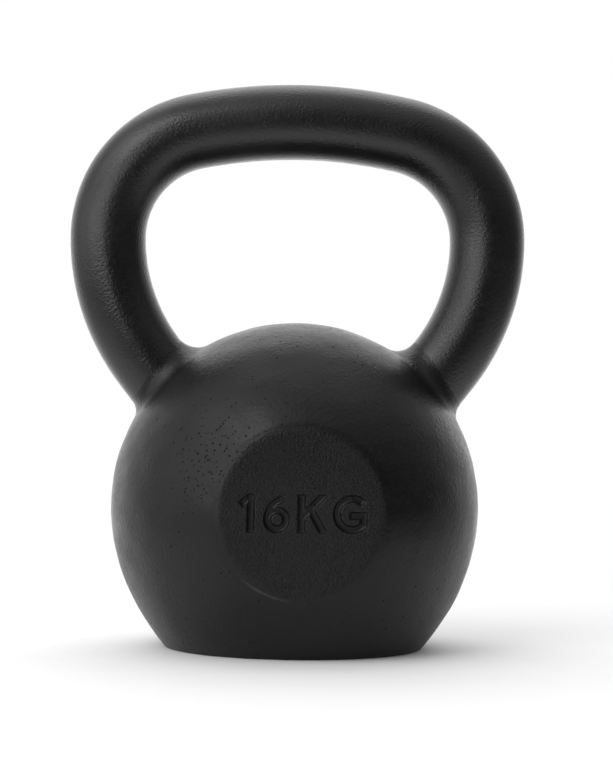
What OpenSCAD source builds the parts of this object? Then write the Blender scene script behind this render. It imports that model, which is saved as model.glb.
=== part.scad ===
// Kettlebell: a cored iron ball with a bent-bar handle welded on.
// Millimetres, +Z up, origin at the bottom centre, weight mark facing -Y.

/* [Ball] */
// Radius of the ball
ball_r = 80.5; // [64:0.5:105]
// Height of the ball's centre above the floor
ball_centre_z = 61.5; // [48:0.5:76]
// Radius of the straighter flank that runs down to the base
flank_r = 98; // [80:1:140]
// Angle below the equator where the flank begins
flank_start = 12; // [5:1:25]
// Rounding of the edge round the base
base_edge_r = 1.5; // [0.5:0.1:4]
// Radius of the flat round face at the front and at the back
facet_r = 35.5; // [26:0.5:45]

/* [Handle] */
// Diameter of the round grip bar
grip_d = 33; // [26:0.5:40]
// Clear height of the window, from the top of the ball to the underside of the grip
window_h = 72; // [58:1:110]
// Overall width across the handle
handle_w = 200; // [166:1:240]
// Centreline radius of the shallow crown at the top
crown_r = 220; // [150:1:400]
// Centreline radius of the two shoulders
shoulder_r = 48; // [36:0.5:60]
// Centreline radius of the two sides
side_r = 88.5; // [70:0.5:140]
// Straight stretch of bar at the foot of each horn
horn_len = 10; // [8:0.5:20]

/* [Horn welds] */
// Radius of the hollow face of the weld
weld_r = 12; // [9:0.5:18]
// Angle at which the weld meets the bar and the ball
weld_toe_angle = 20; // [16:1:24]

/* [Core] */
// Radius of the cored hollow
core_r = 30; // [20:0.5:36]
// Height of the hollow's domed top above the floor
core_top_z = 104; // [80:1:112]
// Radius of the hole in the base that the core comes out of
neck_r = 20; // [12:0.5:24]
// Depth of that hole
neck_len = 14; // [10:0.5:20]
// Depth of the ballast set in the top of the hollow
ballast_depth = 22; // [10:1:40]

/* [Base plug] */
// Wall and floor thickness of the pressed cup
plug_wall = 2.5; // [1.5:0.1:4]
// Height of the cup
plug_h = 9; // [6:0.5:14]
// Depth of the cup's face inside the base
plug_recess = 1; // [0.5:0.1:3]
// Gap between the cup and the hole, 0 for a press fit
plug_gap = 0; // [0:0.05:0.5]

/* [Weight mark] */
// Height of the figures and letters
mark_h = 16; // [10:0.5:20]
// Width of a stroke
mark_stroke = 3.3; // [1.5:0.1:4]
// Depth of the engraving
mark_depth = 1; // [0.4:0.1:2]

/* [Hidden] */
$fn = 128;
fine = 256;
black = [0.13, 0.13, 0.135];
iron = [0.45, 0.45, 0.46];
eps = 0.01;

// Ball: the sphere's arc, then the flank's arc, which runs smoothly on from it
join_r = ball_r * cos(flank_start);
join_z = ball_centre_z - ball_r * sin(flank_start);
flank_cr = join_r - flank_r * cos(flank_start);
flank_cz = join_z + flank_r * sin(flank_start);
// The edge arc touches the floor and the flank
edge_cr = flank_cr + sqrt(pow(flank_r - base_edge_r, 2) - pow(flank_cz - base_edge_r, 2));
edge_lift = (base_edge_r - flank_cz) / (flank_r - base_edge_r);
edge_z = base_edge_r + base_edge_r * edge_lift;
facet_y = sqrt(ball_r * ball_r - facet_r * facet_r);

// Handle centreline: crown, shoulders, sides and straight horns, all running smoothly together
grip_r = grip_d / 2;
half_w = handle_w / 2 - grip_r;
crown_z = ball_centre_z + ball_r + window_h + grip_r;
crown_half = asin((half_w - shoulder_r) / (crown_r - shoulder_r));
shoulder_x = half_w - shoulder_r;
shoulder_z = crown_z - crown_r + (crown_r - shoulder_r) * cos(crown_half);
side_x = half_w - side_r;

// Foot, where the horn's centreline meets the ball: it lies on a circle round the side's centre,
// and the side turns just far enough for the straight stretch to end there
side_up = shoulder_z - ball_centre_z;
apart = norm([side_x, side_up]);
foot_reach = norm([side_r, horn_len]);
foot_turn = atan2(side_up, -side_x)
    - acos((foot_reach * foot_reach + apart * apart - ball_r * ball_r) / (2 * foot_reach * apart));
horn_lean = foot_turn - atan(horn_len / side_r);
horn_x = side_x + side_r * cos(horn_lean);
horn_z = shoulder_z - side_r * sin(horn_lean);
foot_x = side_x + foot_reach * cos(foot_turn);
foot_z = shoulder_z - foot_reach * sin(foot_turn);
foot_lean = atan2(foot_x, foot_z - ball_centre_z);

// Knuckle: a round at each change of bend, a hair thicker than the bar, which the bends end inside
knuckle_swell = 0.03;
knuckle_gap = 0.3;

// Weld: its hollow arc cuts a little into the bar and the ball, so it meets both at the toe angle
weld_reach = weld_r * cos(weld_toe_angle);
weld_cr = grip_r + weld_reach;
weld_tilt = asin(weld_cr / (ball_r + weld_reach));
weld_ch = (ball_r + weld_reach) * cos(weld_tilt) - ball_r;
weld_root = weld_reach + 2;

mark_mid = mark_h / 2;

module half_plane_profile() {
    intersection() {
        translate([0, ball_centre_z]) circle(r = ball_r);
        translate([0, join_z]) square([ball_r + 1, 2 * ball_r]);
    }
    intersection() {
        translate([flank_cr, flank_cz]) circle(r = flank_r);
        translate([0, edge_z]) square([ball_r + 1, join_z - edge_z]);
    }
    intersection() {
        translate([edge_cr, base_edge_r]) circle(r = base_edge_r);
        translate([edge_cr, 0]) square([2 * base_edge_r, edge_z]);
    }
    square([edge_cr, edge_z]);
}

module ball_body() {
    rotate_extrude() half_plane_profile();
}

// The cored hollow, a cylinder with a round top
module hollow() {
    translate([0, 0, neck_len]) cylinder(r = core_r, h = core_top_z - core_r - neck_len);
    translate([0, 0, core_top_z - core_r]) sphere(r = core_r);
}

module stroke(from, to) {
    run = to - from;
    translate(from) rotate(atan2(run[1], run[0])) translate([0, -mark_stroke / 2])
        square([norm(run), mark_stroke]);
}

module ring_sector(r, start, sweep) {
    intersection() {
        difference() {
            circle(r = r);
            circle(r = r - mark_stroke);
        }
        if (sweep < 360) {
            far = 2 * r;
            polygon(concat([[0, 0]], [for (i = [0:4]) far * [cos(start + sweep * i / 4), sin(start + sweep * i / 4)]]));
        } else {
            square(3 * r, center = true);
        }
    }
}

module figure_one() {
    w = 0.45 * mark_h;
    translate([w - mark_stroke, 0]) square([mark_stroke, mark_h]);
    stroke([0.04 * mark_h, mark_h - 0.26 * mark_h], [w - mark_stroke / 2, mark_h - mark_stroke / 2]);
}

module figure_six() {
    w = 0.69 * mark_h;
    translate([w / 2, w / 2]) ring_sector(w / 2, 0, 360);
    stroke([mark_stroke * 0.62, w * 0.66], [w - mark_stroke, mark_h - mark_stroke * 0.3]);
}

module letter_k() {
    w = 0.82 * mark_h;
    square([mark_stroke, mark_h]);
    stroke([mark_stroke / 2, 0.38 * mark_h], [w - mark_stroke / 2, mark_h - mark_stroke / 3]);
    stroke([0.42 * w, 0.58 * mark_h], [w - mark_stroke / 2, mark_stroke / 3]);
}

module letter_g() {
    w = 0.9 * mark_h;
    translate([mark_mid, mark_mid]) ring_sector(mark_mid, 40, 280);
    translate([mark_mid + 0.04 * mark_h, mark_mid - mark_stroke]) square([w - mark_mid - 0.04 * mark_h, mark_stroke]);
    translate([w - mark_stroke, 0.16 * mark_h]) square([mark_stroke, mark_mid - 0.16 * mark_h]);
}

// Figures and letters side by side, centred on the flat face
module weight_mark() {
    translate([-1.66 * mark_h, -mark_mid]) {
        figure_one();
        translate([0.67 * mark_h, 0]) figure_six();
        translate([1.55 * mark_h, 0]) letter_k();
        translate([2.45 * mark_h, 0]) letter_g();
    }
}

module ball_casting() {
    color(black) difference() {
        ball_body();
        for (side = [-1, 1])
            translate([-ball_r, side > 0 ? facet_y : -facet_y - ball_r, -1]) cube([2 * ball_r, ball_r, 3 * ball_r]);
        translate([0, -facet_y + mark_depth, ball_centre_z]) rotate([90, 0, 0])
            linear_extrude(height = mark_depth + 1) weight_mark();
        translate([0, 0, -1]) cylinder(r = neck_r, h = neck_len + 1 + eps);
        hollow();
    }
}

// A stretch of bar bent round a centre in the XZ plane, from one angle through a sweep
module bent_bar(centre_x, centre_z, bend_r, start, sweep) {
    short = knuckle_gap / bend_r * 180 / PI;
    translate([centre_x, 0, centre_z]) rotate([90, 0, 0]) rotate([0, 0, start + short])
        rotate_extrude(angle = sweep - 2 * short) translate([bend_r, 0]) circle(r = grip_r);
}

module knuckle(x, z) {
    translate([x, 0, z]) sphere(r = grip_r + knuckle_swell);
}

module half_handle() {
    knuckle(crown_r * sin(crown_half), crown_z - crown_r + crown_r * cos(crown_half));
    bent_bar(shoulder_x, shoulder_z, shoulder_r, 0, 90 - crown_half);
    knuckle(half_w, shoulder_z);
    bent_bar(side_x, shoulder_z, side_r, -horn_lean, horn_lean);
    knuckle(horn_x, horn_z);
    translate([horn_x, 0, horn_z]) rotate([0, 180 + horn_lean, 0]) translate([0, 0, knuckle_gap])
        cylinder(r = grip_r, h = horn_len + grip_r);
}

// The bar's two ends are cut to sit on the ball
module handle() {
    color(black) difference() {
        union() {
            bent_bar(0, crown_z - crown_r, crown_r, 90 - crown_half, 2 * crown_half);
            half_handle();
            mirror([1, 0, 0]) half_handle();
        }
        translate([0, 0, ball_centre_z]) sphere(r = ball_r);
    }
}

module weld_profile() {
    difference() {
        polygon([
            [grip_r / 2, weld_ch],
            [weld_cr, weld_ch],
            [weld_cr - weld_root * sin(weld_tilt), weld_ch - weld_root * cos(weld_tilt)],
            [grip_r / 2, weld_ch - weld_root]
        ]);
        translate([weld_cr, weld_ch]) circle(r = weld_r, $fn = fine);
    }
}

// A ring of weld round the right-hand horn, square to the ball
module horn_weld() {
    color(black) difference() {
        translate([foot_x, 0, foot_z]) rotate([0, foot_lean, 0]) rotate_extrude($fn = fine) weld_profile();
        translate([0, 0, ball_centre_z]) sphere(r = ball_r, $fn = fine);
        translate([foot_x, 0, foot_z]) rotate([0, horn_lean, 0]) translate([0, 0, -grip_d])
            cylinder(r = grip_r, h = 2 * grip_d, $fn = fine);
    }
}

module left_horn_weld() {
    mirror([1, 0, 0]) horn_weld();
}

module right_horn_weld() {
    horn_weld();
}

// Ballast poured with the ball upside down, so it fills the round top of the hollow
module ballast() {
    color(iron) intersection() {
        hollow();
        translate([-ball_r, -ball_r, core_top_z - ballast_depth]) cube([2 * ball_r, 2 * ball_r, ballast_depth + 1]);
    }
}

module base_plug() {
    cup_r = neck_r - plug_gap;
    color(black) translate([0, 0, plug_recess]) difference() {
        cylinder(r = cup_r, h = plug_h);
        translate([0, 0, plug_wall]) cylinder(r = cup_r - plug_wall, h = plug_h);
    }
}

ball_casting();
handle();
left_horn_weld();
right_horn_weld();
ballast();
base_plug();
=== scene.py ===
# Kettlebell: a cored iron ball with two flat faces and a cut-in weight mark, a bent bar handle,
# a ring of weld at the foot of each horn, a pressed plug in the base and iron shot inside.
# Pieces are drawn in millimetres, which makePiece turns into metres. Materials, the floor, the lamps
# and the camera are in metres.
import bpy
import numpy as np
from mathutils import Matrix, Vector


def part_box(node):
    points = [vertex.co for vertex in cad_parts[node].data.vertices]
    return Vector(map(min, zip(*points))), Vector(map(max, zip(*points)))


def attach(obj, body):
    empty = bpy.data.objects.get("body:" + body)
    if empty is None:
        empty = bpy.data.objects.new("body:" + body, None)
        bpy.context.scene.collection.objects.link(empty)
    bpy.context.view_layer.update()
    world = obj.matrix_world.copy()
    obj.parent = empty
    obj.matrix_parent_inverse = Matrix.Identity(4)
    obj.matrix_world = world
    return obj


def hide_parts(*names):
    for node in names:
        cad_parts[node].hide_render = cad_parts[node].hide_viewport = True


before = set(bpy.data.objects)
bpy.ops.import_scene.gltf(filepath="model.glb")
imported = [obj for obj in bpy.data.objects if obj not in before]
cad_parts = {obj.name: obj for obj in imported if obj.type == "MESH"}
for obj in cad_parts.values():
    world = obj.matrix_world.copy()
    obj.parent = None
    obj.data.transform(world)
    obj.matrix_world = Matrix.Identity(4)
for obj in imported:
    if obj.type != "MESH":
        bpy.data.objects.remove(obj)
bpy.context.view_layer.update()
metre = 0.001  # metres in a millimetre
mirrorX = np.array([-1, 1, 1])


def cadBox(node):
    low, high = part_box(node)
    return np.array(low) / metre, np.array(high) / metre


# Places from start to end whose steps have the size spacing(place): the running total of
# 1 / spacing is cut into equal parts
def graded(start, end, spacing):
    slices = 6000
    fine = np.linspace(start, end, slices + 1)
    middles = 0.5 * (fine[1:] + fine[:-1])
    total = np.concatenate([[0], np.cumsum(1 / spacing(middles))]) * abs(end - start) / slices
    return np.interp(np.linspace(0, total[-1], int(round(total[-1])) + 1), total, fine)


# Points on a circle's arc, centre + radius * (cos, sin) of each angle in degrees
def arcPoints(centre, radius, angles):
    turn = np.radians(angles)
    return np.stack([centre[0] + radius * np.cos(turn), centre[1] + radius * np.sin(turn)], -1)


# A profile of (reach, height) carried round Z: (reach sin a, -reach cos a, height) at every angle a,
# which starts at the front and turns towards +X
def spunPoints(profile, angles):
    turn = np.radians(angles)[None, :]
    reach = profile[:, :1]
    height = profile[:, 1:] + 0 * turn
    return np.stack([reach * np.sin(turn), -reach * np.cos(turn), height], -1)


# Quads of a grid of vertex numbers, closed along its columns and, if asked, along its rows
def gridFaces(grid, closedRows=False):
    below = np.roll(grid, -1, 0)
    if not closedRows:
        grid, below = grid[:-1], below[:-1]
    corners = [grid, below, np.roll(below, -1, 1), np.roll(grid, -1, 1)]
    return np.stack(corners, -1).reshape(-1, 4)


# Triangles from a ring of vertex numbers to one pole vertex, before the ring or after it
def poleFaces(ring, pole, first):
    after = np.roll(ring, -1)
    tip = np.full(len(ring), pole)
    return np.stack([tip, ring, after] if first else [ring, tip, after], -1)


# Triangles between two closed rings with different counts: both are walked together in order of
# turn, and each step makes a triangle with the vertex last passed on the other ring
def bridgeFaces(outer, outerTurn, inner, innerTurn):
    outer = outer[np.argsort(outerTurn)]
    inner = inner[np.argsort(innerTurn)]
    turns = np.concatenate([np.sort(outerTurn), np.sort(innerTurn)])
    onOuter = (np.arange(len(turns)) < len(outer))[np.argsort(turns, kind="stable")]
    a = (np.cumsum(onOuter) - 1) % len(outer)
    b = (np.cumsum(~onOuter) - 1) % len(inner)
    outerStep = np.stack([outer[a - 1], outer[a], inner[b]], -1)
    innerStep = np.stack([outer[a], inner[b], inner[b - 1]], -1)
    return np.where(onOuter[:, None], outerStep, innerStep)


# Unit normals of a grid closed along its columns, from the cross product of its two differences
def gridNormals(points):
    down = np.gradient(points, axis=0)
    along = np.roll(points, -1, 1) - np.roll(points, 1, 1)
    normal = np.cross(down, along)
    return normal / np.maximum(np.linalg.norm(normal, axis=-1, keepdims=True), 1e-9)


# Gentle unevenness of the casting and the welds: a sum of sine waves in random directions
waves = {"count": 26, "shortest": 9.0, "longest": 46.0, "height": 0.075, "seed": 16}


def unevenness(points):
    rng = np.random.default_rng(waves["seed"])
    ways = rng.normal(size=(waves["count"], 3))
    ways /= np.linalg.norm(ways, axis=1, keepdims=True)
    lengths = np.geomspace(waves["shortest"], waves["longest"], waves["count"])
    starts = rng.uniform(0, 2 * np.pi, waves["count"])
    share = np.sqrt(lengths / waves["longest"]) / np.sqrt(waves["count"])
    phase = points @ (ways / lengths[:, None]).T * 2 * np.pi + starts
    return waves["height"] * (np.sin(phase) * share).sum(-1) * 2


# 0 below low, 1 above high and 3 t^2 - 2 t^3 between them
def smoothStep(low, high, value):
    t = np.clip((value - low) / (high - low), 0, 1)
    return t * t * (3 - 2 * t)


# A piece from its points in millimetres and its lists of quads and triangles
def makePiece(name, points, faces, material, node, sharpAngle=None):
    mesh = bpy.data.meshes.new(name)
    corners = np.concatenate([part.ravel() for part in faces])
    sizes = np.concatenate([np.full(len(part), part.shape[1]) for part in faces])
    mesh.vertices.add(len(points))
    mesh.vertices.foreach_set("co", (points * metre).astype(np.float32).ravel())
    mesh.loops.add(len(corners))
    mesh.loops.foreach_set("vertex_index", corners.astype(np.int32))
    mesh.polygons.add(len(sizes))
    mesh.polygons.foreach_set("loop_start", (np.cumsum(sizes) - sizes).astype(np.int32))
    mesh.update(calc_edges=True)
    mesh.shade_smooth()
    if sharpAngle:
        mesh.set_sharp_from_angle(angle=np.radians(sharpAngle))
    mesh.materials.append(material)
    piece = bpy.data.objects.new(name, mesh)
    bpy.context.scene.collection.objects.link(piece)
    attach(piece, "root")
    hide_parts(node)
    print(name, len(points), "points", int((sizes - 2).sum()), "triangles")


# Each input of a node is linked to a socket or set to a value
def fillInputs(tree, node, values):
    for key, value in values.items():
        if isinstance(value, bpy.types.NodeSocket):
            tree.links.new(value, node.inputs[key])
        else:
            node.inputs[key].default_value = value


def addNode(tree, kind, values=None, **settings):
    made = tree.nodes.new("ShaderNode" + kind)
    for key, value in settings.items():
        setattr(made, key, value)
    fillInputs(tree, made, values or {})
    return made


def mathNode(tree, operation, first, second=0.0, clamp=False):
    made = addNode(tree, "Math", {0: first, 1: second}, operation=operation)
    made.use_clamp = clamp
    return made.outputs[0]


def rangeNode(tree, value, fromLow, fromHigh, toLow=0.0, toHigh=1.0, smooth=True):
    values = {"Value": value, "From Min": fromLow, "From Max": fromHigh, "To Min": toLow, "To Max": toHigh}
    kind = "SMOOTHSTEP" if smooth else "LINEAR"
    return addNode(tree, "MapRange", values, interpolation_type=kind).outputs[0]


def newGroup(name, inputs, outputs):
    group = bpy.data.node_groups.new(name, "ShaderNodeTree")
    for label, value in inputs.items():
        kind = "NodeSocketVector" if value is None else "NodeSocketFloat"
        socket = group.interface.new_socket(label, in_out="INPUT", socket_type=kind)
        if value is not None:
            socket.default_value = value
    for label in outputs:
        group.interface.new_socket(label, in_out="OUTPUT", socket_type="NodeSocketFloat")
    return group, group.nodes.new("NodeGroupInput").outputs, group.nodes.new("NodeGroupOutput").inputs


# Orange peel of a powder coat: rounded bumps from fine noise, flatter where a slow noise is high
def makePeelGroup():
    group, given, result = newGroup("coatPeel", {"Place": None, "Size": 900.0, "Unevenness": 0.5}, ["Height"])
    place = given["Place"]
    bumps = {"Vector": place, "Scale": given["Size"], "Detail": 1.0, "Roughness": 0.35}
    small = addNode(group, "TexNoise", bumps)
    slow = addNode(group, "TexNoise", {"Vector": place, "Scale": 70.0, "Detail": 3.0})
    peel = rangeNode(group, small.outputs[0], 0.3, 0.72)
    patch = rangeNode(group, slow.outputs[0], 0.36, 0.64)
    keep = mathNode(group, "SUBTRACT", 1.0, mathNode(group, "MULTIPLY", patch, given["Unevenness"]))
    group.links.new(mathNode(group, "MULTIPLY", peel, keep), result["Height"])
    return group


# Grain that sand leaves on cast iron: fine noise with a sprinkle of single raised grains
def makeSandGroup():
    group, given, result = newGroup("sandGrain", {"Place": None, "Size": 1500.0, "Grains": 0.5}, ["Height"])
    place = given["Place"]
    grit = {"Vector": place, "Scale": given["Size"], "Detail": 3.0, "Roughness": 0.6}
    fine = addNode(group, "TexNoise", grit)
    cells = addNode(group, "TexVoronoi", {"Vector": place, "Scale": 1150.0, "Randomness": 1.0})
    chosen = mathNode(group, "GREATER_THAN", cells.outputs["Color"], 0.72)
    grain = rangeNode(group, cells.outputs["Distance"], 0.05, 0.42, 1.0, 0.0)
    raised = mathNode(group, "MULTIPLY", mathNode(group, "MULTIPLY", grain, chosen), given["Grains"])
    group.links.new(mathNode(group, "ADD", fine.outputs[0], raised), result["Height"])
    return group


# Pinholes: round pits at random Voronoi points, thick round one centre and thin elsewhere
def makePitGroup():
    inputs = {"Place": None, "Cluster": None, "Spread": 0.03, "Size": 420.0, "Thick": 0.3, "Thin": 0.02}
    group, given, result = newGroup("pinholes", inputs, ["Pit"])
    place = given["Place"]
    cells = addNode(group, "TexVoronoi", {"Vector": place, "Scale": given["Size"], "Randomness": 1.0})
    apart = addNode(group, "VectorMath", {0: place, 1: given["Cluster"]}, operation="DISTANCE")
    reach = mathNode(group, "DIVIDE", apart.outputs["Value"], given["Spread"])
    near = rangeNode(group, reach, 0.2, 1.0, 1.0, 0.0)
    extra = mathNode(group, "MULTIPLY", near, given["Thick"])
    share = mathNode(group, "ADD", given["Thin"], extra)
    tint = addNode(group, "SeparateColor", {"Color": cells.outputs["Color"]})
    chosen = mathNode(group, "LESS_THAN", tint.outputs[0], share)
    width = rangeNode(group, tint.outputs[1], 0.0, 1.0, 0.14, 0.34, smooth=False)
    rim = mathNode(group, "DIVIDE", cells.outputs["Distance"], width)
    pit = rangeNode(group, rim, 0.45, 1.0, 1.0, 0.0)
    group.links.new(mathNode(group, "MULTIPLY", pit, chosen), result["Pit"])
    return group


# Painted highlight on the rim: a thin lighter band at one distance from the line through the middle of the
# front face, which fades out on both sides of one spot. It stands for a lit stretch of rim, not for wear
def makeRubGroup():
    inputs = {"Place": None, "Middle": None, "Spot": None, "Radius": 0.0355, "Width": 0.0004, "Reach": 0.01}
    group, given, result = newGroup("paintedRimHighlight", inputs, ["Rub"])
    place = given["Place"]
    offset = addNode(group, "VectorMath", {0: place, 1: given["Middle"]}, operation="SUBTRACT")
    flat = addNode(group, "VectorMath", {0: offset.outputs[0], 1: (1, 0, 1)}, operation="MULTIPLY")
    reach = addNode(group, "VectorMath", {0: flat.outputs[0]}, operation="LENGTH").outputs["Value"]
    away = mathNode(group, "ABSOLUTE", mathNode(group, "SUBTRACT", reach, given["Radius"]))
    band = rangeNode(group, mathNode(group, "DIVIDE", away, given["Width"]), 0.2, 1.0, 1.0, 0.0)
    apart = addNode(group, "VectorMath", {0: place, 1: given["Spot"]}, operation="DISTANCE")
    share = mathNode(group, "DIVIDE", apart.outputs["Value"], given["Reach"])
    near = rangeNode(group, share, 0.2, 1.0, 1.0, 0.0)
    patchy = addNode(group, "TexNoise", {"Vector": place, "Scale": 420.0, "Detail": 2.0}).outputs[0]
    highlightBreaks = rangeNode(group, patchy, 0.3, 0.6, 0.35, 1.0)
    group.links.new(mathNode(group, "MULTIPLY", mathNode(group, "MULTIPLY", band, near), highlightBreaks), result["Rub"])
    return group


# Slow variation over a coat, from 0 to 1: wide patches with a finer mottle over them
def makeMottleGroup():
    group, given, result = newGroup("mottle", {"Place": None, "Patches": 28.0, "Specks": 420.0}, ["Tone"])
    place, wideShare = given["Place"], 0.65
    wide = addNode(group, "TexNoise", {"Vector": place, "Scale": given["Patches"], "Detail": 4.0})
    fine = addNode(group, "TexNoise", {"Vector": place, "Scale": given["Specks"], "Detail": 2.0})
    mixed = mathNode(group, "ADD", mathNode(group, "MULTIPLY", wide.outputs[0], wideShare),
                     mathNode(group, "MULTIPLY", fine.outputs[0], 1 - wideShare))
    group.links.new(rangeNode(group, mixed, 0.36, 0.64), result["Tone"])
    return group


effects = {
    "peel": makePeelGroup(),
    "sand": makeSandGroup(),
    "pits": makePitGroup(),
    "mottle": makeMottleGroup(),
    "rimHighlight": makeRubGroup(),
}


def effectNode(tree, name, values):
    made = tree.nodes.new("ShaderNodeGroup")
    made.node_tree = effects[name]
    fillInputs(tree, made, values)
    return made.outputs[0]


# Colour that goes from first to second as the share goes from 0 to 1
def blendNode(tree, share, first, second):
    return addNode(tree, "MixRGB", {"Fac": share, "Color1": first, "Color2": second}).outputs[0]


def bumpNode(tree, height, distance, normal=None):
    values = {"Height": height, "Distance": distance}
    if normal:
        values["Normal"] = normal
    return addNode(tree, "Bump", values).outputs[0]


def newMaterial(name):
    material = bpy.data.materials.new(name)
    material.use_nodes = True
    tree = material.node_tree
    return material, tree, tree.nodes["Principled BSDF"], addNode(tree, "TexCoord").outputs["Object"]


# Black powder coat: deep grey-black with a slow mottle and orange peel over a fine sand grain, and on the
# casting stronger grain on the flat faces, pinholes darkened with painted shade, and one stretch of rim with
# a painted highlight
def powderCoat(name, look):
    material, tree, shader, place = newMaterial(name)
    tone = effectNode(tree, "mottle", {"Place": place, "Patches": look["patches"]})
    colour = blendNode(tree, tone, look["dark"], look["light"])
    shine = rangeNode(tree, tone, 0.0, 1.0, look["gloss"], look["matt"], smooth=False)
    peel = effectNode(tree, "peel", {"Place": place, "Size": look["peelSize"],
                                     "Unevenness": look["peelPatches"]})
    normal = bumpNode(tree, peel, look["peelDepth"])
    sand = effectNode(tree, "sand", {"Place": place, "Size": look["sandSize"], "Grains": look["grains"]})
    if "faceDepth" in look:  # stronger sand grain on the two flat faces
        apart = addNode(tree, "SeparateXYZ", {"Vector": place}).outputs["Y"]
        onFace = rangeNode(tree, mathNode(tree, "ABSOLUTE", apart), look["faceStart"], look["faceEnd"])
        depth = rangeNode(tree, onFace, 0.0, 1.0, look["sandDepth"] / look["faceDepth"], 1.0, smooth=False)
        normal = bumpNode(tree, mathNode(tree, "MULTIPLY", sand, depth), look["faceDepth"], normal)
        shine = mathNode(tree, "SUBTRACT", shine, mathNode(tree, "MULTIPLY", onFace, look["faceGloss"]))
    else:
        normal = bumpNode(tree, sand, look["sandDepth"], normal)
    if "pitDepth" in look:
        pit = effectNode(tree, "pits", {"Place": place, "Cluster": look["cluster"],
                                        "Spread": look["spread"], "Size": look["pitSize"],
                                        "Thick": look["thick"], "Thin": look["thin"]})
        normal = bumpNode(tree, mathNode(tree, "SUBTRACT", 1.0, pit), look["pitDepth"], normal)
        # Painted shade: each pit is also darkened in colour, besides its bump and its rougher coat
        colour = blendNode(tree, pit, colour, look["pitShadeColour"])
        shine = mathNode(tree, "ADD", shine, mathNode(tree, "MULTIPLY", pit, look["pitMatt"]), clamp=True)
    # Painted highlight: a lighter colour in a thin band along one stretch of the front face's rim
    if "highlightSpot" in look:
        rimHighlight = effectNode(tree, "rimHighlight", {"Place": place, "Middle": look["highlightMiddle"], "Spot": look["highlightSpot"],
                                       "Radius": look["highlightRadius"], "Width": look["highlightWidth"],
                                       "Reach": look["highlightReach"]})
        colour = blendNode(tree, rimHighlight, colour, look["paintedHighlightColour"])
    tree.links.new(colour, shader.inputs["Base Color"])
    tree.links.new(shine, shader.inputs["Roughness"])
    tree.links.new(normal, shader.inputs["Normal"])
    shader.inputs["IOR"].default_value = look["ior"]
    return material


# Depths and distances in a look are metres; sizes are how many bumps or patches fit into a metre
coatBlack = {"dark": (0.0035, 0.0035, 0.0036, 1), "light": (0.006, 0.006, 0.0062, 1)}
coatOnIron = powderCoat("powder coat on cast iron", {
    **coatBlack, "patches": 26.0,
    "gloss": 0.34, "matt": 0.44, "ior": 1.36,
    "peelSize": 640.0, "peelPatches": 0.7, "peelDepth": 0.00006,
    "sandSize": 1150.0, "grains": 0.9, "sandDepth": 0.00005,
    "faceDepth": 0.00042, "faceStart": 0.0717, "faceEnd": 0.07222, "faceGloss": 0.06,
    # pit colour below is painted shade in the pinholes
    "pitDepth": 0.0008, "pitSize": 580.0, "pitShadeColour": (0.001, 0.001, 0.001, 1), "pitMatt": 0.4,
    "cluster": (-0.038, -0.064, 0.084), "spread": 0.03, "thick": 0.95, "thin": 0.08,
    # Painted highlight along the rim of the front face: where it lies, how wide it is and how light
    "highlightMiddle": (0, 0, 0.0615), "highlightSpot": (-0.0152, -0.0715, 0.029), "highlightRadius": 0.0361,
    "highlightWidth": 0.0008, "highlightReach": 0.014, "paintedHighlightColour": (0.028, 0.028, 0.0285, 1),
})
coatOnBar = powderCoat("powder coat on the bar", {
    **coatBlack, "patches": 34.0,
    "gloss": 0.31, "matt": 0.38, "ior": 1.53,
    "peelSize": 940.0, "peelPatches": 0.6, "peelDepth": 0.00006,
    "sandSize": 1700.0, "grains": 0.1, "sandDepth": 0.000012,
})
coatOnWeld = powderCoat("powder coat on weld", {
    **coatBlack, "patches": 40.0,
    "gloss": 0.34, "matt": 0.44, "ior": 1.4,
    "peelSize": 780.0, "peelPatches": 0.6, "peelDepth": 0.00009,
    "sandSize": 1100.0, "grains": 0.2, "sandDepth": 0.00006,
})
coatOnSteel = powderCoat("powder coat on pressed steel", {
    "dark": (0.014, 0.014, 0.0145, 1), "light": (0.02, 0.02, 0.0205, 1), "patches": 60.0,
    "gloss": 0.32, "matt": 0.42, "ior": 1.5,
    "peelSize": 900.0, "peelPatches": 0.3, "peelDepth": 0.00003,
    "sandSize": 1900.0, "grains": 0.1, "sandDepth": 0.000008,
})


# Iron shot set in dark resin: from dull resin to dull metal over a fine mottle
def makeShotMaterial():
    material, tree, shader, place = newMaterial("iron shot in resin")
    tone = effectNode(tree, "mottle", {"Place": place, "Patches": 150.0, "Specks": 1600.0})
    colour = blendNode(tree, tone, (0.10, 0.095, 0.09, 1), (0.26, 0.25, 0.24, 1))
    tree.links.new(colour, shader.inputs["Base Color"])
    tree.links.new(rangeNode(tree, tone, 0.0, 1.0, 0.4, 0.65), shader.inputs["Roughness"])
    tree.links.new(rangeNode(tree, tone, 0.1, 0.6), shader.inputs["Metallic"])
    sand = effectNode(tree, "sand", {"Place": place, "Size": 2500.0, "Grains": 0.2})
    tree.links.new(bumpNode(tree, sand, 0.00004), shader.inputs["Normal"])
    return material


shotInResin = makeShotMaterial()
print("materials made")

# Ball
ball = {
    "flankRadius": 98.0,   # straighter flank down to the base
    "flankStart": 12.0,    # degrees below the equator where it begins
    "edgeRadius": 1.5,     # rounding round the base
    "faceBlend": 1.5,      # depth over which each flat face rounds into the ball
    "coreRadius": 30.0,
    "coreTop": 104.0,
    "neckRadius": 20.0,
    "neckLength": 14.0,
    "mouthRound": 0.6,
    "fineStep": 0.6,       # grid step over the flat faces
    "faceShare": 0.25,     # share of the unevenness that the flat faces have
    "faceEase": 0.6,       # depth behind a flat face by which the unevenness is whole
    "levelTo": 2.0,        # no unevenness up to this height, so that the base stays flat
    "unevenFrom": 9.0,     # and all of it above this one
    "columnTurns": (29, 34, 40, 138, 146, 151),  # degrees from the front where the grid step changes
    "columnSteps": (0.9, 1.7, 1.7, 0.9),         # degrees, at the four middle ones
}
ballHigh = cadBox("ball_casting")[1]
ball["radius"] = ballHigh[0]
ball["centre"] = ballHigh[2] - ball["radius"]
ball["faceDepth"] = ballHigh[1]  # distance of each flat face from the middle

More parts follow.
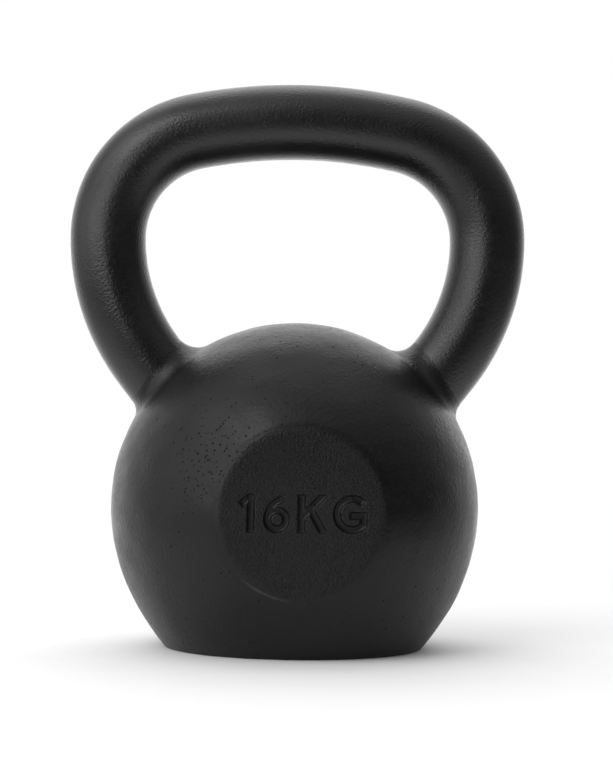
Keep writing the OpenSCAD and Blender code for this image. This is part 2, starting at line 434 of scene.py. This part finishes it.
mark = {
    "height": 16.0,
    "stroke": 3.3,
    "depth": 1.1,
    "draft": 1.1,          # width of the sloping wall inside the edge of each stroke
    "brow": 0.3,           # width of its rounded start outside the edge
    "halfWide": 29.4,      # half size of the finely meshed field that holds the mark
    "halfHigh": 9.8,
    "step": 0.25,
    "border": 0.7,         # gap in the coarser grid round the field
    "leftEdges": (-26.5, -15.8, -1.8, 12.6),  # of the two figures and the two letters
}


# Signed distance to a straight stroke with square ends: a box along the line from one point to another
def lineStroke(x, y, start, end):
    start, end = np.array(start), np.array(end)
    run = end - start
    length = np.hypot(*run)
    run = run / length
    middle = 0.5 * (start + end)
    along = np.abs((x - middle[0]) * run[0] + (y - middle[1]) * run[1]) - length / 2 - mark["stroke"] / 2
    across = np.abs((y - middle[1]) * run[0] - (x - middle[0]) * run[1]) - mark["stroke"] / 2
    outside = np.hypot(np.maximum(along, 0), np.maximum(across, 0))
    return outside + np.minimum(np.maximum(along, across), 0)


# Signed distance to a curved stroke: how far from its circle, and past either end of its sweep. A
# whole circle has no ends
def arcStroke(x, y, centre, radius, start, sweep):
    dx, dy = x - centre[0], y - centre[1]
    reach = np.hypot(dx, dy)
    across = np.abs(reach - radius) - mark["stroke"] / 2
    if sweep >= 360:
        return across
    turn = np.radians((np.degrees(np.arctan2(dy, dx)) - start - sweep / 2 + 180) % 360 - 180)
    past = (np.abs(turn) - np.radians(sweep / 2)) * radius
    outside = np.hypot(np.maximum(across, 0), np.maximum(past, 0))
    return outside + np.minimum(np.maximum(across, past), 0)


# The figures 1 and 6 and the letters K and G, each from a few strokes round its own left edge
def markDistance(x, y):
    top = mark["height"] / 2 - mark["stroke"] / 2
    one, six, kay, gee = [x - edge for edge in mark["leftEdges"]]
    strokes = [
        lineStroke(one, y, (5.5, -top), (5.5, top)),
        lineStroke(one, y, (2.6, 4.5), (5.5, 6.8)),
        arcStroke(six, y, (5.5, -2.5), 3.85, 0, 360),
        arcStroke(six, y, (10.5, -2.5), 8.85, 105, 75),
        lineStroke(kay, y, (1.65, -top), (1.65, top)),
        lineStroke(kay, y, (1.65, -1.9), (10.6, 7.6)),
        lineStroke(kay, y, (5.4, 1.6), (10.6, -7.6)),
        arcStroke(gee, y, (8.0, 0.0), top, 42, 276),
        lineStroke(gee, y, (12.65, -4.0), (12.65, -0.6)),
        lineStroke(gee, y, (8.4, -0.6), (12.65, -0.6)),
    ]
    band = np.abs(y) - mark["height"] / 2
    return np.maximum(np.minimum.reduce(strokes), band)


# The smaller of two depths, rounded off where they cross: a polynomial smooth minimum
def softMinimum(first, second, width):
    share = np.clip(0.5 + 0.5 * (second - first) / width, 0, 1)
    return second * (1 - share) + first * share - width * share * (1 - share)


# The ball's outside and its hollow as (reach, height): arcs of the sphere, the flank and the base's
# rounding, with the flank tangent to the sphere and the rounding tangent to flank and floor; then the
# mouth's rounding, the neck, the wider core and its domed top
def ballProfile():
    radius, centre, flank = ball["radius"], ball["centre"], ball["flankRadius"]
    join = np.radians(ball["flankStart"])
    flankCentre = ((radius - flank) * np.cos(join), centre + (flank - radius) * np.sin(join))
    edge = ball["edgeRadius"]
    edgeReach = flankCentre[0] + np.sqrt((flank - edge) ** 2 - (flankCentre[1] - edge) ** 2)
    edgeAngle = np.degrees(np.arcsin((edge - flankCentre[1]) / (flank - edge)))
    fine = np.degrees(ball["fineStep"] / radius)
    # Steps in degrees: fine as far up and down as the flat faces reach, and wider past them
    upper = graded(89.0, -ball["flankStart"],
                   lambda a: np.interp(a, [28, 34, 50, 90], [fine, 1.1, 1.25, 1.4]))
    lower = graded(-ball["flankStart"], edgeAngle,
                   lambda a: np.interp(-a, [25, 30], [fine * 0.85, 0.95]))
    rim = np.linspace(edgeAngle, -90, 7)
    outer = np.concatenate([
        arcPoints((0, centre), radius, upper),
        arcPoints(flankCentre, flank, lower[1:]),
        arcPoints((edgeReach, edge), edge, rim[1:]),
        [[edgeReach - edge, 0]],
    ])
    neck, mouth, core = ball["neckRadius"], ball["mouthRound"], ball["coreRadius"]
    domeCentre = ball["coreTop"] - core
    floor, ease = ball["neckLength"], 0.4  # ease: short steps that keep the hollow's corners crisp
    inner = np.concatenate([
        [[edgeReach - 2 * edge, 0], [neck + 12, 0], [neck + 3, 0]],
        arcPoints((neck + mouth, mouth), mouth, np.linspace(270, 180, 6)),
        [[neck, 4], [neck, 9], [neck, floor - ease], [neck + ease, floor]],
        [[neck + 5, floor], [core - ease, floor], [core, floor + ease]],
        np.stack([np.full(8, core), np.linspace(floor + 6, domeCentre - 5, 8)], -1),
        arcPoints((0, domeCentre), core, np.linspace(0, 88, 24)),
    ])
    return outer, inner


# The ball: its profile carried round Z, with the depth in Y held to the flat faces by a smooth minimum
def makeBall():
    outerProfile, innerProfile = ballProfile()
    # Steps in degrees: fine across the front face, wide at the sides, less fine across the back face
    fine = np.degrees(ball["fineStep"] / ball["radius"])
    steps = (fine, *ball["columnSteps"], 2 * fine)
    columns = graded(-180, 180, lambda a: np.interp(np.abs(a), ball["columnTurns"], steps))[:-1]
    outer = spunPoints(outerProfile, columns)
    bare = gridNormals(outer)
    depth = softMinimum(np.abs(outer[..., 1]), ball["faceDepth"], ball["faceBlend"])
    outer[..., 1] = np.sign(outer[..., 1]) * depth
    lift = unevenness(outer) * smoothStep(ball["levelTo"], ball["unevenFrom"], outer[..., 2])
    curved = smoothStep(0.0, ball["faceEase"], ball["faceDepth"] - depth)
    keep = ball["faceShare"] + (1 - ball["faceShare"]) * curved
    outer += bare * (lift * keep)[..., None]
    inner = spunPoints(innerProfile, np.arange(0, 360, 3.75))

    # The finely meshed field for the mark takes the place of a block of the coarser grid
    rows, count = outer.shape[:2]
    middle = ball["centre"]
    front = np.abs((columns + 180) % 360 - 180) < 60
    sideways = np.abs(ball["faceDepth"] * np.tan(np.radians(columns)))
    blockColumns = np.flatnonzero(front & (sideways < mark["halfWide"] + mark["border"]))
    blockRows = np.flatnonzero(np.abs(outerProfile[:, 1] - middle) < mark["halfHigh"] + mark["border"])
    top, bottom = blockRows[0], blockRows[-1]
    left, right = blockColumns[0], blockColumns[-1]
    across = np.linspace(-mark["halfWide"], mark["halfWide"], int(2 * mark["halfWide"] / mark["step"]) + 1)
    upward = np.linspace(mark["halfHigh"], -mark["halfHigh"], int(2 * mark["halfHigh"] / mark["step"]) + 1)
    x, z = np.meshgrid(across, upward)
    cut = mark["depth"] * (1 - smoothStep(-mark["draft"], mark["brow"], markDistance(x, z)))
    field = np.stack([x, cut - ball["faceDepth"], z + middle], -1)
    field[..., 1] -= ball["faceShare"] * unevenness(field)

    points = [outer.reshape(-1, 3), field.reshape(-1, 3), inner.reshape(-1, 3)]
    starts = np.cumsum([0] + [len(part) for part in points])
    outerGrid = np.arange(starts[0], starts[1]).reshape(rows, count)
    fieldGrid = np.arange(starts[1], starts[2]).reshape(x.shape)
    innerGrid = np.arange(starts[2], starts[3]).reshape(inner.shape[:2])
    topPole, corePole = starts[3], starts[3] + 1
    points.append(np.array([[0, 0, ball["radius"] + middle], [0, 0, ball["coreTop"]]]))
    points = np.concatenate(points)

    quads = gridFaces(outerGrid).reshape(rows - 1, count, 4)
    kept = np.ones((rows - 1, count), bool)
    kept[top:bottom, left:right] = False
    block = outerGrid[top:bottom + 1, left:right + 1]

    # A grid's border, walked once round
    def borderOf(grid):
        return np.concatenate([grid[0, :-1], grid[:-1, -1], grid[-1, :0:-1], grid[:0:-1, 0]])

    # Order of a ring's points: by their angle round the mark, or round the middle of the base
    def frontTurn(ring):
        return np.arctan2((points[ring, 2] - middle) / mark["halfHigh"], points[ring, 0] / mark["halfWide"])

    def belowTurn(ring):
        return -np.arctan2(points[ring, 0], -points[ring, 1])

    blockBorder, fieldBorder = borderOf(block), borderOf(fieldGrid)
    above, below = fieldGrid[:-1], fieldGrid[1:]
    fieldQuads = np.stack([above[:, :-1], below[:, :-1], below[:, 1:], above[:, 1:]], -1)
    faces = [
        quads[kept],
        fieldQuads.reshape(-1, 4),
        bridgeFaces(blockBorder, frontTurn(blockBorder), fieldBorder, frontTurn(fieldBorder)),
        bridgeFaces(outerGrid[-1], belowTurn(outerGrid[-1]), innerGrid[0], belowTurn(innerGrid[0])),
        gridFaces(innerGrid),
        poleFaces(outerGrid[0], topPole, True),
        poleFaces(innerGrid[-1], corePole, False),
    ]
    # Points inside the removed block belong to no face any more, so they are dropped
    used = np.zeros(len(points), bool)
    for part in faces:
        used[part.ravel()] = True
    renumber = np.cumsum(used) - 1
    faces = [renumber[part] for part in faces]
    makePiece("ball", points[used], faces, coatOnIron, "ball_casting")


makeBall()

# Grip bar
bar = {
    "diameter": 33.0,
    "across": 200.0,       # overall width of the handle
    "crownRadius": 220.0,
    "shoulderRadius": 48.0,
    "sideRadius": 88.5,
    "hornLength": 10.0,    # straight stretch at the foot
    "step": 0.95,
    "around": 124,
    "endRings": 7,         # rings on each cut end
}
bar["radius"] = bar["diameter"] / 2
bar["top"] = cadBox("handle")[1][2] - bar["radius"]


# The three bends of half the centreline: their centres, radii, turns and running lengths. The last
# turn comes from where the circle through the foot, round the side's centre, crosses the ball's circle
def handlePlan():
    halfWide = bar["across"] / 2 - bar["radius"]
    crown, shoulder, side = bar["crownRadius"], bar["shoulderRadius"], bar["sideRadius"]
    crownTurn = np.arcsin((halfWide - shoulder) / (crown - shoulder))
    shoulderHeight = bar["top"] - crown + (crown - shoulder) * np.cos(crownTurn)
    centres = np.array([
        [0, bar["top"] - crown],
        [halfWide - shoulder, shoulderHeight],
        [halfWide - side, shoulderHeight],
    ])
    up = shoulderHeight - ball["centre"]
    apart = np.hypot(centres[2, 0], up)
    footReach = np.hypot(side, bar["hornLength"])
    ratio = (footReach ** 2 + apart ** 2 - ball["radius"] ** 2) / (2 * footReach * apart)
    footTurn = np.arctan2(up, -centres[2, 0]) - np.arccos(ratio)
    lean = footTurn - np.arctan(bar["hornLength"] / side)
    radii = np.array([crown, shoulder, side])
    turns = np.array([0, crownTurn, np.pi / 2, np.pi / 2 + lean])
    return centres, radii, turns, np.cumsum(np.diff(turns) * radii)


# Point, outward normal and running direction of the right half of the centreline at a distance from
# its top: the turn grows by distance / radius along each bend and stays the same on the straight horn
def halfCentreline(distance):
    centres, radii, turns, ends = handlePlan()
    turn = np.interp(distance, np.concatenate([[0], ends]), turns)
    which = np.minimum(np.searchsorted(ends, distance), 2)
    outward = np.stack([np.sin(turn), np.cos(turn)], -1)
    along = np.stack([np.cos(turn), -np.sin(turn)], -1)
    point = centres[which] + radii[which][:, None] * outward
    point = point + np.maximum(distance - ends[-1], 0)[:, None] * along
    return point, outward, along


# The bar: rings round the centreline, a straight horn that ends on the ball, and the other half mirrored
def makeBar():
    bendEnd = handlePlan()[3][-1]
    turn = np.linspace(0, 2 * np.pi, bar["around"], endpoint=False)
    halfCount = int(round(bendEnd / bar["step"]))
    distance = np.linspace(0, bendEnd, halfCount + 1)
    point, outward, along = halfCentreline(distance)
    # Ring points: centre + radius (cos t outward + sin t Y)
    ring = np.zeros((halfCount + 1, bar["around"], 3))
    reach = bar["radius"] * np.cos(turn)[None, :]
    ring[..., 0] = point[:, :1] + reach * outward[:, :1]
    ring[..., 1] = bar["radius"] * np.sin(turn)[None, :]
    ring[..., 2] = point[:, 1:] + reach * outward[:, 1:]

    # Straight horn: every point of the last ring runs on until it meets the ball's sphere
    heading = np.array([along[-1, 0], 0, along[-1, 1]])
    centre = np.array([0, 0, ball["centre"]])

    def towardsBall(start):
        offset = start - centre
        slope = offset @ heading
        gap = (offset ** 2).sum(-1) - ball["radius"] ** 2
        return -slope - np.sqrt(slope ** 2 - gap)

    travel = towardsBall(ring[-1])
    hornSteps = np.linspace(0, 1, int(round(bar["hornLength"] / bar["step"])) + 1)[1:]
    horn = ring[-1][None] + hornSteps[:, None, None] * travel[None, :, None] * heading
    # End face: rings that shrink to the centreline and lie on the sphere
    shrink = np.linspace(1, 0, bar["endRings"] + 2)[1:-1]
    axisPoint = np.array([point[-1, 0], 0, point[-1, 1]])
    endRings = axisPoint + shrink[:, None, None] * (ring[-1] - axisPoint)[None]
    endRings = endRings + towardsBall(endRings)[..., None] * heading
    tip = axisPoint + towardsBall(axisPoint) * heading

    half = np.concatenate([ring, horn, endRings])
    whole = np.concatenate([half[:0:-1] * mirrorX, half])
    tips = np.array([tip * mirrorX, tip])
    grid = np.arange(whole.shape[0] * whole.shape[1]).reshape(whole.shape[:2])
    first, last = grid.size, grid.size + 1
    points = np.concatenate([whole.reshape(-1, 3), tips])
    faces = [gridFaces(grid), poleFaces(grid[0], first, True), poleFaces(grid[-1], last, False)]
    makePiece("grip_bar", points, faces, coatOnBar, "handle", 50)


makeBar()

# Horn welds
weld = {
    "outerRadius": 7.5,    # hollow corner on the outer side of the horn
    "innerRadius": 10.0,   # and on the window side
    "sink": 0.006,         # how far its feather edges lie inside the bar and the ball
    "around": 240,
    "steps": 26,
    "wobble": (0.05, 0.03),  # slow and quick change of the radius round the horn
    # A short raised lip on the left weld, at this turn round the horn and share of the way from bar to ball
    "leftLip": {"turn": 4.85, "wide": 0.22, "height": 0.3, "place": 0.4, "narrow": 0.05},
}


# A ball of radius r rolled round the corner between bar and ball: its centre is r outside both, and
# the weld's face is the arc from where it touches the bar to where it touches the ball
def makeWeld(name, side, node, lip):
    point, outward, along = halfCentreline(handlePlan()[3][-1:])
    base = np.array([point[0, 0], 0, point[0, 1]])
    heading = np.array([along[0, 0], 0, along[0, 1]])
    outwardAxis = np.array([outward[0, 0], 0, outward[0, 1]])
    centre = np.array([0, 0, ball["centre"]])
    turn = np.linspace(0, 2 * np.pi, weld["around"], endpoint=False)
    spoke = np.cos(turn)[:, None] * outwardAxis + np.sin(turn)[:, None] * np.array([0, 1.0, 0])
    share = 0.5 - 0.5 * np.cos(turn)
    slow, quick = weld["wobble"]
    wobble = 1 + slow * np.sin(3 * turn + side) + quick * np.sin(7 * turn + 2 * side)
    radius = (weld["outerRadius"] + (weld["innerRadius"] - weld["outerRadius"]) * share) * wobble
    start = base + (bar["radius"] + radius - weld["sink"])[:, None] * spoke
    offset = start - centre
    slope = offset @ heading
    reach = ball["radius"] + radius - weld["sink"]
    travel = -slope - np.sqrt(slope ** 2 - ((offset ** 2).sum(-1) - reach ** 2))
    middle = start + travel[:, None] * heading
    toBall = (centre - middle) / np.linalg.norm(centre - middle, axis=1, keepdims=True)
    toBar = -spoke
    opening = np.arccos((toBall * toBar).sum(1))
    step = np.linspace(0, 1, weld["steps"])[:, None, None]
    opened = opening[None, :, None]
    blend = np.sin((1 - step) * opened) * toBar + np.sin(step * opened) * toBall
    blend = blend / np.sin(opened)
    face = middle + radius[None, :, None] * blend
    if lip:
        window = np.exp(-((turn - lip["turn"]) / lip["wide"]) ** 2)
        rise = lip["height"] * np.exp(-((step[..., 0] - lip["place"]) / lip["narrow"]) ** 2) * window
        face = face - blend * rise[..., None]
    # Back of the ring: along the ball's surface to the corner, then up the bar's surface
    toe, root = face[-1], face[0]
    onBar = root - ((root - base) @ heading)[:, None] * heading
    offset = onBar - centre
    slope = offset @ heading
    inner = ball["radius"] - weld["sink"]
    down = -slope - np.sqrt(slope ** 2 - ((offset ** 2).sum(-1) - inner ** 2))
    corner = onBar + down[:, None] * heading
    thirds = np.array([0.33, 0.66])[:, None, None]
    alongBall = toe + thirds * (corner - toe) - centre
    alongBall = centre + inner * alongBall / np.linalg.norm(alongBall, axis=-1, keepdims=True)
    alongBar = corner + thirds * (root - corner)
    back = np.concatenate([alongBall, corner[None], alongBar])
    if side < 0:
        face, blend, back = face * mirrorX, blend * mirrorX, back * mirrorX
    face = face - blend * unevenness(face)[..., None]
    section = np.concatenate([face, back])
    grid = np.arange(section.shape[0] * section.shape[1]).reshape(section.shape[:2])
    faces = gridFaces(grid, closedRows=True)
    if side < 0:
        faces = faces[:, ::-1]
    makePiece(name, section.reshape(-1, 3), [faces], coatOnWeld, node, 45)


makeWeld("left_weld", -1, "left_horn_weld", weld["leftLip"])
makeWeld("right_weld", 1, "right_horn_weld", None)

# Base plug
plug = {
    "wall": 2.5,
    "pressRadius": 1.8,    # rounding from pressing the cup
    "lipRound": 0.5,
    "insideRadius": 1.0,   # the same rounding on the inside
    "clear": 0.04,         # keeps the cup's wall off the hole's wall
    "dish": 0.5,           # the floor is pressed in slightly
    "dishFrom": 3.0,       # start and end of that slope, inward from the rounding
    "dishTo": 7.0,
}


# The cup: one closed profile, outside and then inside, carried round Z
def makePlug():
    low, high = cadBox("base_plug")
    reach = high[0] - plug["clear"]
    base, top = low[2], high[2]
    press, wall, lip, inside = plug["pressRadius"], plug["wall"], plug["lipRound"], plug["insideRadius"]
    floorEdge = reach - press
    floorRun = np.linspace(1, floorEdge, 14)
    dish = plug["dish"] * smoothStep(floorEdge - plug["dishFrom"], floorEdge - plug["dishTo"], floorRun)
    profile = np.concatenate([
        np.stack([floorRun, base + dish], -1),
        arcPoints((reach - press, base + press), press, np.linspace(-90, 0, 9))[1:],
        arcPoints((reach - lip, top - lip), lip, np.linspace(0, 90, 5)),
        arcPoints((reach - wall + lip, top - lip), lip, np.linspace(90, 180, 5)),
        arcPoints((reach - wall - inside, base + wall + inside), inside, np.linspace(0, -90, 6)),
        np.stack([floorRun[::-1][2:] - 1, (base + wall + dish[::-1])[2:]], -1)[:-1],
    ])
    grid = spunPoints(profile, np.arange(0, 360, 2.5))
    numbers = np.arange(grid.shape[0] * grid.shape[1]).reshape(grid.shape[:2])
    middles = np.array([[0, 0, base + plug["dish"]], [0, 0, base + wall + plug["dish"]]])
    points = np.concatenate([grid.reshape(-1, 3), middles])
    faces = [gridFaces(numbers)[:, ::-1], poleFaces(numbers[0], numbers.size, True)[:, ::-1],
             poleFaces(numbers[-1], numbers.size + 1, False)[:, ::-1]]
    makePiece("plug_cup", points, faces, coatOnSteel, "base_plug")


makePlug()

# Ballast
shot = {
    "diameter": 2.4,
    "gapDepth": 0.8,       # depth of the resin between the balls, as a share of their radius
    "clear": 0.05,         # keeps the fill off the core's wall
    "runSteps": 96,        # rings across the flat underside
}


# Height of round shot above the level of its middles, which are packed as a honeycomb: the square root
# of radius^2 - distance^2 to the nearest middle
def shotHeight(x, y):
    pitch = shot["diameter"]
    rowHigh = pitch * np.sqrt(3) / 2
    best = np.full(x.shape, 1e9)
    for shift in (0, 1):
        rowNumber = 2 * np.round((y / rowHigh - shift) / 2) + shift
        centreX = (np.round(x / pitch - shift / 2) + shift / 2) * pitch
        best = np.minimum(best, (x - centreX) ** 2 + (y - rowNumber * rowHigh) ** 2)
    return np.sqrt(np.maximum((pitch / 2) ** 2 - best, 0))


# The fill: a dome that sits in the core, and a flat underside pressed full of shot
def makeBallast():
    low, high = cadBox("ballast")
    core, face = ball["coreRadius"] - shot["clear"], low[2]
    centre = high[2] - ball["coreRadius"]
    rim = np.degrees(np.arcsin((face + 0.6 - centre) / core))
    dome = arcPoints((0, centre), core, np.linspace(88, rim, 40))
    run = np.linspace(dome[-1, 0] - 0.5, 0.3, shot["runSteps"])
    profile = np.concatenate([dome, np.stack([run, np.full(shot["runSteps"], face)], -1)])
    grid = spunPoints(profile, np.arange(0, 360, 1.2))
    flat = grid[len(dome):]
    flat[..., 2] += (shot["diameter"] / 2 - shotHeight(flat[..., 0], flat[..., 1])) * shot["gapDepth"]
    numbers = np.arange(grid.shape[0] * grid.shape[1]).reshape(grid.shape[:2])
    points = np.concatenate([grid.reshape(-1, 3), [[0, 0, centre + core], [0, 0, face]]])
    faces = [gridFaces(numbers), poleFaces(numbers[0], numbers.size, True),
             poleFaces(numbers[-1], numbers.size + 1, False)]
    makePiece("shot_fill", points, faces, shotInResin, "ballast")


makeBallast()

# Floor, light and camera
studio = {
    "floorGlow": 0.02,     # a slight light of its own, which keeps the shadow pale
    "floorRadius": 0.7,
    "fadeFrom": 0.16,      # the floor fades into the backdrop between these two distances
    "fadeTo": 0.5,
}


# A round floor, one many-sided face, that is pale and turns clear towards its rim
def makeFloor():
    material, tree, shader, place = newMaterial("pale studio floor")
    tone = effectNode(tree, "mottle", {"Place": place, "Patches": 3.0, "Specks": 60.0})
    colour = blendNode(tree, tone, (0.85, 0.85, 0.85, 1), (0.87, 0.87, 0.87, 1))
    tree.links.new(colour, shader.inputs["Base Color"])
    away = addNode(tree, "VectorMath", {0: place}, operation="LENGTH").outputs["Value"]
    kept = rangeNode(tree, away, studio["fadeFrom"], studio["fadeTo"], 1.0, 0.0)
    tree.links.new(kept, shader.inputs["Alpha"])
    shader.inputs["Roughness"].default_value = 0.8
    shader.inputs["Specular IOR Level"].default_value = 0.1
    shader.inputs["Emission Color"].default_value = (1, 1, 1, 1)
    shader.inputs["Emission Strength"].default_value = studio["floorGlow"]
    turn = np.linspace(0, 2 * np.pi, 96, endpoint=False)
    ring = studio["floorRadius"] * np.stack([np.cos(turn), np.sin(turn), 0 * turn], -1)
    mesh = bpy.data.meshes.new("floor")
    mesh.from_pydata(ring.tolist(), [], [list(range(len(ring)))])
    mesh.materials.append(material)
    floor = bpy.data.objects.new("floor", mesh)
    bpy.context.scene.collection.objects.link(floor)


makeFloor()

# Brightness of the room in each direction
skyLevels = {"left": 0.45, "right": 0.12, "front": 0.0, "back": 2.2, "above": 0.88, "below": 3.0}


# World light: the squares of a direction's three parts add up to 1, so they share out the six levels
# smoothly. The camera itself sees a plain white backdrop
def makeWorld():
    world = bpy.data.worlds.new("studio")
    bpy.context.scene.world = world
    world.use_nodes = True
    tree = world.node_tree
    way = addNode(tree, "SeparateXYZ", {"Vector": addNode(tree, "TexCoord").outputs["Generated"]})
    level = 0.0
    for axis, low, high in (("X", "left", "right"), ("Y", "front", "back"), ("Z", "below", "above")):
        part = way.outputs[axis]
        towards = mathNode(tree, "GREATER_THAN", part, 0.0)
        chosen = rangeNode(tree, towards, 0.0, 1.0, skyLevels[low], skyLevels[high], smooth=False)
        square = mathNode(tree, "MULTIPLY", part, part)
        level = mathNode(tree, "ADD", mathNode(tree, "MULTIPLY", square, chosen), level)
    seen = addNode(tree, "LightPath").outputs["Is Camera Ray"]
    shown = addNode(tree, "Mix", {0: seen, 2: level, 3: 1.0}, data_type="FLOAT")
    tree.links.new(shown.outputs[0], tree.nodes["Background"].inputs["Strength"])
    tree.nodes["Background"].inputs["Color"].default_value = (1, 1, 1, 1)


makeWorld()

lamps = {
    "wide front left softbox": {"place": (-0.95, -1.25, 0.42), "size": (1.5, 0.5), "power": 7.0},
    "left softbox": {"place": (-1.54, -0.27, 0.43), "size": (0.75, 0.75), "power": 1.9},
    "high left softbox": {"place": (-1.12, -0.41, 1.17), "size": (0.75, 0.75), "power": 2.6},
    "high front softbox": {"place": (-0.68, -0.97, 1.17), "size": (0.75, 0.75), "power": 6.2},
    "top softbox": {"place": (0.0, 0.6, 1.5), "size": (1.6, 1.0), "power": 5.5},
}
lampTarget = (0.0, 0.0, 0.12)


def aimAt(thing, place, target):
    thing.location = place
    thing.rotation_euler = (Vector(target) - Vector(place)).to_track_quat("-Z", "Y").to_euler()


def makeLamps():
    for name, lamp in lamps.items():
        light = bpy.data.lights.new(name, "AREA")
        light.shape = "RECTANGLE"
        light.size, light.size_y = lamp["size"]
        light.energy = lamp["power"]
        thing = bpy.data.objects.new(name, light)
        bpy.context.scene.collection.objects.link(thing)
        aimAt(thing, lamp["place"], lampTarget)


makeLamps()

view = {
    "place": (-0.0425, -0.9983, 0.1048),
    "aim": (0.0045, 0.0012, 0.1158),
    "roll": 0.8,           # degrees
    "lens": 106.68,
}


def makeCamera():
    data = bpy.data.cameras.new("camera")
    data.sensor_fit = "VERTICAL"
    data.sensor_height = 36.0
    data.lens = view["lens"]
    camera = bpy.data.objects.new("camera", data)
    bpy.context.scene.collection.objects.link(camera)
    look = (Vector(view["aim"]) - Vector(view["place"])).to_track_quat("-Z", "Y").to_matrix().to_4x4()
    turned = look @ Matrix.Rotation(np.radians(view["roll"]), 4, "Z")
    camera.matrix_world = Matrix.Translation(view["place"]) @ turned
    bpy.context.scene.camera = camera


makeCamera()
bpy.context.scene.view_settings.view_transform = "Standard"
print("studio made")
